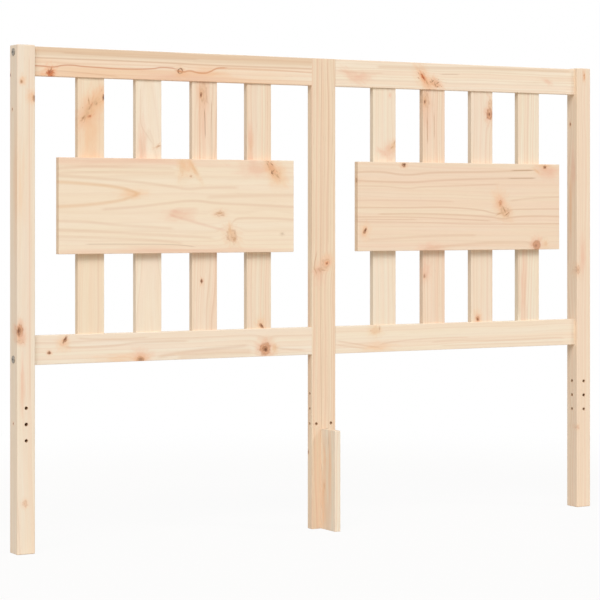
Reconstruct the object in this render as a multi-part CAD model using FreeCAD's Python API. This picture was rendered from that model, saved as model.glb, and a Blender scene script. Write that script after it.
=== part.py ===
import FreeCAD, Part
import math
import os

from FreeCAD import Vector

# A pine headboard for a double bed frame. Two square side posts and a flat centre post are
# joined by four rails. Eight upright slats are tenoned into the rails, and a wide board is
# screwed to the slats of each bay. A short foot block steadies the centre post.
# X runs along the width, Y from front to back and Z up, in millimetres. The origin is on
# the floor, in the middle of the space that the headboard takes up.

# Whole headboard
headboard_width = 1406.0        # over the outer faces of the side posts
headboard_height = 1000.0       # from the floor to the tops of the side posts

# Side posts, planed square
post_width = 38.0
post_depth = 38.0
post_arris = 2.0                # radius on every edge

# Rails and centre post, one flat section
rail_height = 58.0
rail_thickness = 18.0
centre_post_width = 58.0
flat_arris = 1.0                # radius on the long edges of rails, slats, boards and block
top_step = 2.0                  # rails and centre post stop this far below the side posts
lower_rail_underside = 370.0    # above the floor

# Upright slats
slats_per_bay = 4
slat_width = 58.0
slat_gap = 70.0                 # clear space between two slats
slat_thickness = 13.5
slat_setback = 3.5              # slat face behind the rail face
tenon_length = 12.0
tenon_thickness = 7.0
tenon_shoulder = 5.0            # on each edge of the slat
tenon_clearance = 0.2           # all round the tenon
mortise_extra_depth = 1.0

# Wide boards, one on the front of the slats of each bay
board_height = 192.0
board_thickness = 13.5
board_overhang = 47.0           # past the outermost slats

# Foot block, on edge against the front of the centre post
block_height = 212.0
block_depth = 58.0
block_thickness = 13.5

# Furniture bolts and barrel nuts at the side posts
bolt_edge_inset = 12.0          # from the outer edge of the rail
bolt_diameter = 6.0
bolt_hole_diameter = 7.0
bolt_head_diameter = 15.0
bolt_head_height = 1.5
bolt_head_bevel = 0.5
bolt_end_chamfer = 0.8
bolt_end_overrun = 3.0          # past the barrel nut
bolt_hole_end_gap = 2.0
socket_width = 4.0              # across the flats of the hexagon
socket_depth = 3.0
nut_diameter = 10.0
nut_length = 12.0
nut_setback = 32.0              # from the end of the rail
nut_chamfer = 0.5
nut_clearance = 0.15            # between the nut and its hole
thread_clearance = 0.1          # between the bolt and the thread in the nut
nut_slot_width = 1.4
nut_slot_depth = 1.6

# Wooden dowels beside the bolts
dowel_edge_inset = 14.0         # from the inner edge of the rail
dowel_diameter = 8.0
dowel_post_bite = 12.0
dowel_rail_bite = 23.0
dowel_chamfer = 1.0
dowel_clearance = 0.1
dowel_end_gap = 1.0

# Countersunk wood screws
screw_diameter = 4.0
screw_head_diameter = 8.0
screw_head_height = 2.4
screw_tip_length = 3.0
screw_sink = 0.3                # head below the surface
screw_clearance = 0.25          # in the piece that the screw passes through
screw_bite_clearance = 0.05     # in the piece that it holds
screw_end_gap = 1.0
board_screw_bite = 7.0
board_screw_inset = 32.0        # from the top and bottom edges of the board
block_screw_count = 3
block_screw_bite = 32.0
block_screw_inset = 32.0        # from the ends of the block

# Holes for the rest of the bed frame
frame_hole_count = 3
frame_hole_pitch = 32.0
frame_hole_height = 255.0       # middle hole above the floor
frame_bolt_hole_diameter = 7.0  # the middle hole, front to back through the side post
frame_pin_hole_diameter = 6.0
frame_pin_hole_depth = 25.0
side_pilot_diameter = 6.0
side_pilot_depth = 12.0
centre_cross_diameter = 5.0     # edge to edge through the centre post
front_pilot_diameter = 5.5
front_pilot_spacing = 36.0
front_pilot_depth = 5.0

# How far every cut runs past the surface that it starts from
cut_overrun = 2.0

X_AXIS = Vector(1, 0, 0)
Y_AXIS = Vector(0, 1, 0)
Z_AXIS = Vector(0, 0, 1)
SIDES = {"left": -1, "right": 1}
full_turn = 360
parallel_share = 0.5            # an edge at least this much along an axis runs along it

# Places from left to right, measured from the middle
post_outer = headboard_width / 2
post_inner = post_outer - post_width
post_middle = post_outer - post_width / 2
centre_post_side = centre_post_width / 2
bay_middle = (post_inner + centre_post_side) / 2
slat_pitch = slat_width + slat_gap
slat_offsets = [(place - (slats_per_bay - 1) / 2) * slat_pitch for place in range(slats_per_bay)]
board_half_length = slat_offsets[-1] + slat_width / 2 + board_overhang

# Places from front to back, with the foot block in front of the posts
rail_setback = (post_depth - rail_thickness) / 2
block_reach = block_depth - rail_setback
post_front = (block_reach - post_depth) / 2
post_back = post_front + post_depth
rail_front = post_front + rail_setback
rail_back = rail_front + rail_thickness
rail_middle = rail_front + rail_thickness / 2
slat_front = rail_front + slat_setback
slat_back = slat_front + slat_thickness
slat_middle = slat_front + slat_thickness / 2
board_front = slat_front - board_thickness
block_front = rail_front - block_depth

# Heights
rail_top = headboard_height - top_step
upper_rail_underside = rail_top - rail_height
lower_rail_top = lower_rail_underside + rail_height
board_underside = (lower_rail_top + upper_rail_underside - board_height) / 2
board_top = board_underside + board_height
bolt_heights = [rail_top - bolt_edge_inset, lower_rail_underside + bolt_edge_inset]
dowel_heights = [upper_rail_underside + dowel_edge_inset, lower_rail_top - dowel_edge_inset]
board_screw_heights = [board_underside + board_screw_inset, board_top - board_screw_inset]
block_screw_step = (block_height - 2 * block_screw_inset) / (block_screw_count - 1)
block_screw_heights = [block_screw_inset + place * block_screw_step for place in range(block_screw_count)]
frame_hole_heights = [frame_hole_height + (place - (frame_hole_count - 1) / 2) * frame_hole_pitch
                      for place in range(frame_hole_count)]
front_pilot_height = frame_hole_heights[0]

# Reach of the bolts and studs into a rail, and the hole that takes them
nut_radius = nut_diameter / 2
bolt_rail_bite = nut_setback + nut_radius + bolt_end_overrun
bolt_rail_hole_depth = bolt_rail_bite + bolt_hole_end_gap
nut_hole_depth = (rail_thickness + nut_length) / 2 + nut_clearance


def planed_bar(low, high, arris, along, ends_rounded):
    """A planed bar between two opposite corners, its long edges rounded, and its end edges where asked."""
    size = high.sub(low)
    bar = Part.makeBox(size.x, size.y, size.z, low)
    edges = []
    for edge in bar.Edges:
        first, last = edge.Vertexes
        way = last.Point.sub(first.Point).normalize()
        if ends_rounded or abs(way.dot(along)) > parallel_share:
            edges.append(edge)
    return bar.makeFillet(arris, edges)


def hole(mouth, inward, diameter, depth):
    """The cut for a round hole of a given depth from its mouth."""
    return Part.makeCylinder(diameter / 2, depth + cut_overrun, mouth - inward * cut_overrun, inward)


def turned(base, along, profile):
    """A body of revolution about a level line. The profile lists (distance, radius) from axis to axis."""
    corners = [base + along * distance + Z_AXIS * radius for distance, radius in profile]
    corners.append(corners[0])
    return Part.Face(Part.makePolygon(corners)).revolve(base, along, full_turn)


def round_ended_peg(x_middle, y_middle, z_low, width, thickness, height):
    """An upright peg with flat sides and half-round ends, the shape that a router leaves in a mortise."""
    radius = thickness / 2
    straight = width / 2 - radius
    front_left = Vector(x_middle - straight, y_middle - radius, z_low)
    front_right = Vector(x_middle + straight, y_middle - radius, z_low)
    back_left = Vector(x_middle - straight, y_middle + radius, z_low)
    back_right = Vector(x_middle + straight, y_middle + radius, z_low)
    left_tip = Vector(x_middle - width / 2, y_middle, z_low)
    right_tip = Vector(x_middle + width / 2, y_middle, z_low)
    outline = Part.Wire([
        Part.LineSegment(front_left, front_right).toShape(),
        Part.Arc(front_right, right_tip, back_right).toShape(),
        Part.LineSegment(back_right, back_left).toShape(),
        Part.Arc(back_left, left_tip, front_left).toShape(),
    ])
    return Part.Face(outline).extrude(Z_AXIS * height)


def tenon(x_middle, z_low):
    """The round-ended tenon on the end of a slat."""
    width = slat_width - 2 * tenon_shoulder
    return round_ended_peg(x_middle, slat_middle, z_low, width, tenon_thickness, tenon_length)


def mortise(x_middle, z_low):
    """The cut in a rail for one tenon, up or down from its mouth, with its clearance."""
    width = slat_width - 2 * tenon_shoulder + 2 * tenon_clearance
    thickness = tenon_thickness + 2 * tenon_clearance
    height = tenon_length + mortise_extra_depth + cut_overrun
    return round_ended_peg(x_middle, slat_middle, z_low, width, thickness, height)


def countersunk_hole(mouth, inward, depth):
    """The cut for a countersunk screw that passes through a piece."""
    head_radius = screw_head_diameter / 2 + screw_clearance
    shank_radius = screw_diameter / 2 + screw_clearance
    neck = screw_sink + screw_head_height
    return turned(mouth, inward, [
        (-cut_overrun, 0), (-cut_overrun, head_radius), (screw_sink, head_radius),
        (neck, shank_radius), (depth + cut_overrun, shank_radius), (depth + cut_overrun, 0)])


def screw_bite_hole(mouth, inward, bite):
    """The cut for the end of a screw, in the piece that it holds."""
    return hole(mouth, inward, screw_diameter + 2 * screw_bite_clearance, bite + screw_end_gap)


def countersunk_screw(mouth, inward, length):
    """A wood screw whose head lies just below the surface."""
    head_radius = screw_head_diameter / 2
    shank_radius = screw_diameter / 2
    return turned(mouth, inward, [
        (screw_sink, 0), (screw_sink, head_radius), (screw_sink + screw_head_height, shank_radius),
        (length - screw_tip_length, shank_radius), (length, 0)])


def side_post(side):
    """A square post with its holes for the rails on the inner face and for the bed frame in front."""
    outer_x, inner_x = side * post_outer, side * post_inner
    low = Vector(min(outer_x, inner_x), post_front, 0)
    high = Vector(max(outer_x, inner_x), post_back, headboard_height)
    outward = X_AXIS * side
    cuts = []
    for height in bolt_heights:
        mouth = Vector(inner_x, rail_middle, height)
        cuts.append(hole(mouth, outward, bolt_hole_diameter, post_width + cut_overrun))
    for height in dowel_heights:
        mouth = Vector(inner_x, rail_middle, height)
        diameter = dowel_diameter + 2 * dowel_clearance
        cuts.append(hole(mouth, outward, diameter, dowel_post_bite + dowel_end_gap))
    for height in frame_hole_heights:
        mouth = Vector(side * post_middle, post_front, height)
        if height == frame_hole_height:
            cuts.append(hole(mouth, Y_AXIS, frame_bolt_hole_diameter, post_depth + cut_overrun))
        else:
            cuts.append(hole(mouth, Y_AXIS, frame_pin_hole_diameter, frame_pin_hole_depth))
        inner_mouth = Vector(inner_x, rail_middle, height)
        cuts.append(hole(inner_mouth, outward, side_pilot_diameter, side_pilot_depth))
    return planed_bar(low, high, post_arris, Z_AXIS, True).cut(cuts)


def centre_post():
    """The flat middle post, with holes for the rails at its sides and for the foot block at its back."""
    low = Vector(-centre_post_side, rail_front, 0)
    high = Vector(centre_post_side, rail_back, rail_top)
    cuts = []
    across = centre_post_width + cut_overrun
    for height in bolt_heights:
        mouth = Vector(-centre_post_side, rail_middle, height)
        cuts.append(hole(mouth, X_AXIS, bolt_hole_diameter, across))
    for height in frame_hole_heights:
        mouth = Vector(-centre_post_side, rail_middle, height)
        cuts.append(hole(mouth, X_AXIS, centre_cross_diameter, across))
    for side in SIDES.values():
        inward = X_AXIS * -side
        for height in dowel_heights:
            mouth = Vector(side * centre_post_side, rail_middle, height)
            diameter = dowel_diameter + 2 * dowel_clearance
            cuts.append(hole(mouth, inward, diameter, dowel_post_bite + dowel_end_gap))
        mouth = Vector(side * front_pilot_spacing / 2, rail_front, front_pilot_height)
        cuts.append(hole(mouth, Y_AXIS, front_pilot_diameter, front_pilot_depth))
    for height in block_screw_heights:
        mouth = Vector(0, rail_back, height)
        cuts.append(countersunk_hole(mouth, Y_AXIS * -1, rail_thickness))
    return planed_bar(low, high, flat_arris, Z_AXIS, True).cut(cuts)


def rail(side, underside, bolt_height, dowel_height, mortises_face_up):
    """A rail of one bay, with four mortises in one edge and bolt, nut and dowel holes at both ends."""
    inner_x, outer_x = side * centre_post_side, side * post_inner
    low = Vector(min(inner_x, outer_x), rail_front, underside)
    high = Vector(max(inner_x, outer_x), rail_back, underside + rail_height)
    cuts = []
    for end_x, way in ((inner_x, side), (outer_x, -side)):
        inward = X_AXIS * way
        bolt_mouth = Vector(end_x, rail_middle, bolt_height)
        dowel_mouth = Vector(end_x, rail_middle, dowel_height)
        nut_mouth = Vector(end_x + way * nut_setback, rail_back, bolt_height)
        dowel_hole_diameter = dowel_diameter + 2 * dowel_clearance
        cuts.append(hole(bolt_mouth, inward, bolt_hole_diameter, bolt_rail_hole_depth))
        cuts.append(hole(dowel_mouth, inward, dowel_hole_diameter, dowel_rail_bite + dowel_end_gap))
        cuts.append(hole(nut_mouth, Y_AXIS * -1, nut_diameter + 2 * nut_clearance, nut_hole_depth))
    mortise_depth = tenon_length + mortise_extra_depth
    mortise_low = underside + rail_height - mortise_depth if mortises_face_up else underside - cut_overrun
    for offset in slat_offsets:
        cuts.append(mortise(side * bay_middle + offset, mortise_low))
    return planed_bar(low, high, flat_arris, X_AXIS, False).cut(cuts)


def slat(x_middle):
    """An upright slat, tenoned at both ends and drilled from the back for the board's screws."""
    low = Vector(x_middle - slat_width / 2, slat_front, lower_rail_top)
    high = Vector(x_middle + slat_width / 2, slat_back, upper_rail_underside)
    blank = planed_bar(low, high, flat_arris, Z_AXIS, False)
    tenons = [tenon(x_middle, lower_rail_top - tenon_length), tenon(x_middle, upper_rail_underside)]
    cuts = [countersunk_hole(Vector(x_middle, slat_back, height), Y_AXIS * -1, slat_thickness)
            for height in board_screw_heights]
    return blank.fuse(tenons).cut(cuts)


def board(side):
    """The wide board of one bay, with blind screw holes in its back."""
    x_middle = side * bay_middle
    low = Vector(x_middle - board_half_length, board_front, board_underside)
    high = Vector(x_middle + board_half_length, slat_front, board_top)
    cuts = [screw_bite_hole(Vector(x_middle + offset, slat_front, height), Y_AXIS * -1, board_screw_bite)
            for offset in slat_offsets for height in board_screw_heights]
    return planed_bar(low, high, flat_arris, X_AXIS, True).cut(cuts)


def foot_block():
    """The short plank on edge in front of the centre post, with screw holes in its back edge."""
    low = Vector(-block_thickness / 2, block_front, 0)
    high = Vector(block_thickness / 2, rail_front, block_height)
    cuts = [screw_bite_hole(Vector(0, rail_front, height), Y_AXIS * -1, block_screw_bite)
            for height in block_screw_heights]
    return planed_bar(low, high, flat_arris, Z_AXIS, True).cut(cuts)


def hexagon_socket(mouth, inward):
    """The cut for a hexagon key, in the head of a bolt."""
    corner_radius = socket_width / math.sqrt(3)
    corners = []
    for corner in range(6):
        angle = math.radians(full_turn * corner / 6)
        around = Y_AXIS * math.cos(angle) + Z_AXIS * math.sin(angle)
        corners.append(mouth - inward * cut_overrun + around * corner_radius)
    corners.append(corners[0])
    return Part.Face(Part.makePolygon(corners)).extrude(inward * (socket_depth + cut_overrun))


def post_bolt(side, height):
    """A furniture bolt through a side post, its flat bevelled head against the outer face."""
    seat = Vector(side * post_outer, rail_middle, height)
    inward = X_AXIS * -side
    head_radius = bolt_head_diameter / 2
    shank_radius = bolt_diameter / 2
    length = post_width + bolt_rail_bite
    bolt = turned(seat, inward, [
        (-bolt_head_height, 0), (-bolt_head_height, head_radius - bolt_head_bevel),
        (bolt_head_bevel - bolt_head_height, head_radius), (0, head_radius), (0, shank_radius),
        (length - bolt_end_chamfer, shank_radius), (length, shank_radius - bolt_end_chamfer), (length, 0)])
    return bolt.cut(hexagon_socket(seat - inward * bolt_head_height, inward))


def centre_stud(height):
    """A threaded stud through the centre post, from one rail into the other."""
    half_length = centre_post_side + bolt_rail_bite
    radius = bolt_diameter / 2
    return turned(Vector(0, rail_middle, height), X_AXIS, [
        (-half_length, 0), (-half_length, radius - bolt_end_chamfer), (bolt_end_chamfer - half_length, radius),
        (half_length - bolt_end_chamfer, radius), (half_length, radius - bolt_end_chamfer), (half_length, 0)])


def barrel_nut(x_middle, height):
    """A cross-drilled barrel nut in a rail, with a screwdriver slot in its back end."""
    half_length = nut_length / 2
    middle = Vector(x_middle, rail_middle, height)
    barrel = turned(middle, Y_AXIS, [
        (-half_length, 0), (-half_length, nut_radius - nut_chamfer), (nut_chamfer - half_length, nut_radius),
        (half_length - nut_chamfer, nut_radius), (half_length, nut_radius - nut_chamfer), (half_length, 0)])
    thread = hole(middle - X_AXIS * nut_radius, X_AXIS, bolt_diameter + 2 * thread_clearance,
                  nut_diameter + cut_overrun)
    slot_corner = middle + Vector(-nut_diameter, half_length - nut_slot_depth, -nut_slot_width / 2)
    slot = Part.makeBox(2 * nut_diameter, nut_slot_depth + cut_overrun, nut_slot_width, slot_corner)
    return barrel.cut([thread, slot])


def dowel(joint_x, way, height):
    """A wooden dowel across the joint between a post and the end of a rail."""
    radius = dowel_diameter / 2
    return turned(Vector(joint_x, rail_middle, height), X_AXIS * way, [
        (-dowel_post_bite, 0), (-dowel_post_bite, radius - dowel_chamfer), (dowel_chamfer - dowel_post_bite, radius),
        (dowel_rail_bite - dowel_chamfer, radius), (dowel_rail_bite, radius - dowel_chamfer), (dowel_rail_bite, 0)])


def board_screws(side):
    """The screws of one board, driven from the back through the slats."""
    length = slat_thickness + board_screw_bite
    return [countersunk_screw(Vector(side * bay_middle + offset, slat_back, height), Y_AXIS * -1, length)
            for offset in slat_offsets for height in board_screw_heights]


def foot_block_screws():
    """The screws of the foot block, driven from the back through the centre post."""
    length = rail_thickness + block_screw_bite
    return [countersunk_screw(Vector(0, rail_back, height), Y_AXIS * -1, length)
            for height in block_screw_heights]


nodes = {"centre_post": [centre_post()], "foot_block": [foot_block()]}
for name, side in SIDES.items():
    nodes["%s_post" % name] = [side_post(side)]
    nodes["upper_rail_%s" % name] = [rail(side, upper_rail_underside, bolt_heights[0], dowel_heights[0], False)]
    nodes["lower_rail_%s" % name] = [rail(side, lower_rail_underside, bolt_heights[1], dowel_heights[1], True)]
    for number, offset in enumerate(slat_offsets, start=1):
        nodes["slat_%s_%d" % (name, number)] = [slat(side * bay_middle + offset)]
    nodes["board_%s" % name] = [board(side)]
    nodes["board_screws_%s" % name] = board_screws(side)
    nodes["post_bolts_%s" % name] = [post_bolt(side, height) for height in bolt_heights]

nut_distances = {"post_barrel_nuts": post_inner - nut_setback, "centre_barrel_nuts": centre_post_side + nut_setback}
for name, distance in nut_distances.items():
    nodes[name] = [barrel_nut(side * distance, height) for side in SIDES.values() for height in bolt_heights]
nodes["post_dowels"] = [dowel(side * post_inner, -side, height)
                        for side in SIDES.values() for height in dowel_heights]
nodes["centre_dowels"] = [dowel(side * centre_post_side, side, height)
                          for side in SIDES.values() for height in dowel_heights]
nodes["centre_studs"] = [centre_stud(height) for height in bolt_heights]
nodes["foot_block_screws"] = foot_block_screws()

os.makedirs("parts", exist_ok=True)
for name, solids in nodes.items():
    shape = solids[0] if len(solids) == 1 else Part.makeCompound(solids)
    shape.exportStep("parts/%s.step" % name)
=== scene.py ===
import bpy
import math
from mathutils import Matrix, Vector


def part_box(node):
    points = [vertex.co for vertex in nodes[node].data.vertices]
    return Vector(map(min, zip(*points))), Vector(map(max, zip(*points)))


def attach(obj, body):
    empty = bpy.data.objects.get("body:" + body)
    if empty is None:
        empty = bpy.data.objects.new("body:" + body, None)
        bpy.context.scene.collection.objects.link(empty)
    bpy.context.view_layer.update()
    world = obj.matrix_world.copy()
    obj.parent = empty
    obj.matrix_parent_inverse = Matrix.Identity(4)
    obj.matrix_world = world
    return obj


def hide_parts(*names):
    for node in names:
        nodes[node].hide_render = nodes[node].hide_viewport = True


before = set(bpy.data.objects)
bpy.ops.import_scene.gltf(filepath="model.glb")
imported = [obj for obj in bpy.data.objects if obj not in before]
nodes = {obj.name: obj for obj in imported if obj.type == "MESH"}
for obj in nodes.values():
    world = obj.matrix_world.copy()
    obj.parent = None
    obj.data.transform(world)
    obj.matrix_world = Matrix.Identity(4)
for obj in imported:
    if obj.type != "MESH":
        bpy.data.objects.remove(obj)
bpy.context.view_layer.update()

# Side posts. Two square posts of planed, unfinished pine with rounded edges and a few small
# knots. The rails are bolted to their inner faces, and the side rails of the bed to the holes
# in front.

MM = 0.001


def srgb(colour):
    """The linear colour of an sRGB hex value."""
    parts = [int(colour[place:place + 2], 16) / 255 for place in (0, 2, 4)]
    return [part / 12.92 if part <= 0.04045 else ((part + 0.055) / 1.055) ** 2.4 for part in parts] + [1]


main_choices = {"MapRange": "interpolation_type", "Mix": "data_type", "TexNoise": "noise_dimensions",
                "TexWhiteNoise": "noise_dimensions", "GeometryNodeSwitch": "input_type"}


def add(tree, kind, settings):
    """Adds a node. A kind without a prefix is a shader node, and its main choice, which for most kinds is the
    operation, can follow it. A setting goes by name to the node or to its input, and one that is another node
    or an output is linked to that input."""
    kind, _, choice = kind.partition(" ")
    node = tree.nodes.new(kind if "Node" in kind else "ShaderNode" + kind)
    if choice:
        setattr(node, main_choices.get(kind, "operation"), choice)
    for name, value in settings.items():
        if isinstance(value, (bpy.types.Node, bpy.types.NodeSocket)):
            tree.links.new(getattr(value, "outputs", [value])[0], node.inputs[name])
        elif isinstance(name, int) or name in node.inputs:
            node.inputs[name].default_value = value
        else:
            setattr(node, name, value)
    return node


def group(name, kind, inputs, outputs):
    """A new node group and its inputs. Both lists hold (type of socket, names) pairs."""
    tree = bpy.data.node_groups.new(name, kind)
    for way, sockets in (("INPUT", inputs), ("OUTPUT", outputs)):
        for socket_type, names in sockets:
            for socket in names:
                tree.interface.new_socket(socket, in_out=way, socket_type="NodeSocket" + socket_type)
    return tree, add(tree, "NodeGroupInput", {}).outputs


def cleared(owner):
    """The emptied node tree of a new material or world."""
    owner.use_nodes = True
    owner.node_tree.nodes.clear()
    return owner.node_tree


# The growth rings of a pine log, as a pattern through the whole of the wood. Its input is in
# millimetres: X along the grain, Y and Z across it from the heart of the log.
seed_steps = (431, 97, 73)      # mm, so that each seed is wood from another place
bend_size = (210, 60, 60)       # mm over which the grain wanders sideways
latewood_from = 0.45            # of a year's growth
latewood_full = 0.92
rings, into = group(
    "pine_growth_rings", "ShaderNodeTree",
    [("Vector", ["Place"]), ("Float", ["Seed", "Ring Width", "Swell", "Wander"])],
    [("Float", ["Latewood", "Zone", "Streak", "Band", "Fibre", "Fleck"])])
seeded = add(rings, "VectorMath MULTIPLY_ADD", {0: into["Seed"], 1: seed_steps, 2: into["Place"]})
bend_place = add(rings, "VectorMath DIVIDE", {0: seeded, 1: bend_size})
bend = add(rings, "TexNoise", {"Vector": bend_place, "Scale": 1, "Detail": 1.5, "Roughness": 0.4})
bend_centred = add(rings, "VectorMath SUBTRACT", {0: bend.outputs["Color"], 1: (0.5, 0.5, 0.5)})
bend_sized = add(rings, "VectorMath SCALE", {0: bend_centred, "Scale": into["Wander"]})
bent = add(rings, "VectorMath ADD", {0: into["Place"], 1: bend_sized})
from_heart = add(rings, "VectorMath MULTIPLY", {0: bent, 1: (0, 1, 1)})
radius = add(rings, "VectorMath LENGTH", {0: from_heart}).outputs["Value"]
years = add(rings, "Math DIVIDE", {0: radius, 1: into["Ring Width"]})
# Good and bad years make wide and narrow rings
year_noise = add(rings, "TexNoise 1D", {"W": years, "Scale": 0.37, "Detail": 1})
uneven = add(rings, "Math MULTIPLY_ADD", {0: year_noise, 1: 2.2, 2: years})
swollen = add(rings, "Math ADD", {0: uneven, 1: into["Swell"]})
growth = add(rings, "Math FRACT", {0: swollen})
ring_rise = add(rings, "MapRange SMOOTHERSTEP", {
    "Value": growth, "From Min": latewood_from, "From Max": latewood_full})
ring_fall = add(rings, "MapRange SMOOTHSTEP", {
    "Value": growth, "From Min": latewood_full, "To Min": 1, "To Max": 0})
ring_line = add(rings, "Math MULTIPLY", {0: ring_rise, 1: ring_fall})
year = add(rings, "Math FLOOR", {0: swollen})
year_seeded = add(rings, "Math MULTIPLY_ADD", {0: into["Seed"], 1: 17.3, 2: year})
year_colour = add(rings, "TexWhiteNoise 1D", {"W": year_seeded})
year_strength = add(rings, "MapRange", {"Value": year_colour, "To Min": 0.1})
latewood = add(rings, "Math MULTIPLY", {0: ring_line, 1: year_strength})
# Groups of rings are pinker or creamier than their neighbours
zone_place = add(rings, "Math MULTIPLY_ADD", {0: into["Seed"], 1: 9.1, 2: swollen})
zone_noise = add(rings, "TexNoise 1D", {"W": zone_place, "Scale": 0.55, "Detail": 1.5, "Roughness": 0.6})
zone = add(rings, "MapRange SMOOTHSTEP", {"Value": zone_noise, "From Min": 0.38, "From Max": 0.62})
# Slow bands of colour, streaks 6 mm wide, fibres, and the short dark flecks of resin ducts, each by
# its size in mm and the range of the noise that shows. Real fibres are 0.03 mm wide and ducts
# 0.2 mm, and both are drawn about 1 mm wide to show.
patterns = {}
for name, size, least, most in (("Band", (300, 26, 26), 0.36, 0.64), ("Streak", (170, 6, 6), 0.35, 0.7),
                                ("Fibre", (45, 1.2, 1.2), 0.3, 0.7), ("Fleck", (24, 1.1, 1.1), 0.64, 0.76)):
    sized = add(rings, "VectorMath DIVIDE", {0: seeded, 1: size})
    noise = add(rings, "TexNoise", {"Vector": sized, "Scale": 1, "Detail": 2, "Roughness": 0.55})
    patterns[name] = add(rings, "MapRange", {"Value": noise, "From Min": least, "From Max": most})
add(rings, "NodeGroupOutput", {"Latewood": latewood, "Zone": zone, **patterns})

# The distance from the middle of a knot, in its own radii, with the ragged outline that knots
# have. Its core lies off the middle, splinters cross it, and the growth rings swell round it.
core_shift = 0.3                # radii, at most
knot_shape, into = group(
    "pine_knot_shape", "ShaderNodeTree",
    [("Vector", ["Place"]), ("Float", ["Seed", "Swell", "Rag"])],
    [("Float", ["Distance", "Core Distance", "Swell", "Side", "Splinter"])])
spoke = add(knot_shape, "VectorMath NORMALIZE", {0: into["Place"]})
spoke_place = add(knot_shape, "VectorMath MULTIPLY_ADD", {0: into["Place"], 1: (0.6, 0.6, 0.6), 2: spoke})
ragged = add(knot_shape, "TexNoise 4D", {
    "Vector": spoke_place, "W": into["Seed"], "Scale": 1.5, "Detail": 3})
ragged_range = add(knot_shape, "MapRange", {
    "Value": ragged, "From Min": 0.25, "From Max": 0.75, "To Min": -1})
ragged_share = add(knot_shape, "Math MULTIPLY_ADD", {0: ragged_range, 1: into["Rag"], 2: 1})
core_way = add(knot_shape, "TexWhiteNoise 1D", {"W": into["Seed"]})
core_offset = add(knot_shape, "VectorMath MULTIPLY_ADD", {
    0: core_way.outputs["Color"], 1: (2 * core_shift, 0, 2 * core_shift), 2: (-core_shift, 0, -core_shift)})
core_place = add(knot_shape, "VectorMath ADD", {0: into["Place"], 1: core_offset})
distances = []
for place in (into["Place"], core_place):
    plain_distance = add(knot_shape, "VectorMath LENGTH", {0: place}).outputs["Value"]
    distances.append(add(knot_shape, "Math MULTIPLY", {0: plain_distance, 1: ragged_share}))
side_noise = add(knot_shape, "TexNoise 4D", {
    "Vector": into["Place"], "W": into["Seed"], "Scale": 0.9, "Detail": 1})
side = add(knot_shape, "MapRange", {"Value": side_noise, "From Min": 0.38, "From Max": 0.62})
splinter_noise = add(knot_shape, "TexNoise 4D", {
    "Vector": into["Place"], "W": into["Seed"], "Scale": 1.7, "Detail": 2, "Roughness": 0.6,
    "Distortion": 0.6})
splinter = add(knot_shape, "MapRange SMOOTHSTEP", {
    "Value": splinter_noise, "From Min": 0.56, "From Max": 0.68})
square = add(knot_shape, "VectorMath DOT_PRODUCT", {0: into["Place"], 1: into["Place"]})
bell_share = add(knot_shape, "Math MULTIPLY", {0: square.outputs["Value"], 1: -0.32})
bell = add(knot_shape, "Math EXPONENT", {0: bell_share})
swell = add(knot_shape, "Math MULTIPLY", {0: bell, 1: into["Swell"]})
add(knot_shape, "NodeGroupOutput", {
    "Distance": distances[0], "Core Distance": distances[1], "Swell": swell, "Side": side,
    "Splinter": splinter})

# The colour of a knot over the wood round it: a resin-rich glow that fades outwards, a body with
# rings of its own, a rim of bark on one side, dark splinters, and a dark core.
body_waviness = 19              # radians of its rings' waves in a radius
knot_colour, into = group(
    "pine_knot_colour", "ShaderNodeTree",
    [("Color", ["Wood", "Glow Colour", "Body Colour", "Core Colour"]),
     ("Float", ["Distance", "Core Distance", "Side", "Splinter", "Glow", "Body", "Rim", "Splinters", "Core",
                "Core Size", "Edge"])],
    [("Color", ["Wood"])])
one_side = add(knot_colour, "MapRange", {"Value": into["Side"], "To Min": 0.45})
body_turns = add(knot_colour, "Math MULTIPLY", {0: into["Core Distance"], 1: body_waviness})
body_waves = add(knot_colour, "Math SINE", {0: body_turns})
body_rings = add(knot_colour, "MapRange", {"Value": body_waves, "From Min": -1, "To Min": 0.72})
rim_inside = add(knot_colour, "MapRange SMOOTHSTEP", {
    "Value": into["Distance"], "From Min": 0.55, "From Max": 0.9})
core_radii = add(knot_colour, "Math DIVIDE", {0: into["Core Distance"], 1: into["Core Size"]})
# Each layer fades out between two distances and is weakened by its factors
knotted = into["Wood"]
for distance, near, far, factors, tint in (
        (into["Distance"], 0.7, 2.7, (one_side, into["Glow"]), "Glow Colour"),
        (into["Distance"], into["Edge"], 1.22, (body_rings, into["Body"]), "Body Colour"),
        (into["Distance"], 0.95, 1.25, (rim_inside, one_side, into["Rim"]), "Core Colour"),
        (into["Distance"], 0.9, 1.7, (into["Splinter"], into["Splinters"]), "Core Colour"),
        (core_radii, 0.4, 1.3, (into["Core"],), "Core Colour")):
    share = add(knot_colour, "MapRange SMOOTHSTEP", {
        "Value": distance, "From Min": near, "From Max": far, "To Min": 1, "To Max": 0})
    for factor in factors:
        share = add(knot_colour, "Math MULTIPLY", {0: share, 1: factor})
    knotted = add(knot_colour, "Mix RGBA", {0: share, 6: knotted, 7: into[tint]}).outputs[2]
add(knot_colour, "NodeGroupOutput", {"Wood": knotted})

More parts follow.
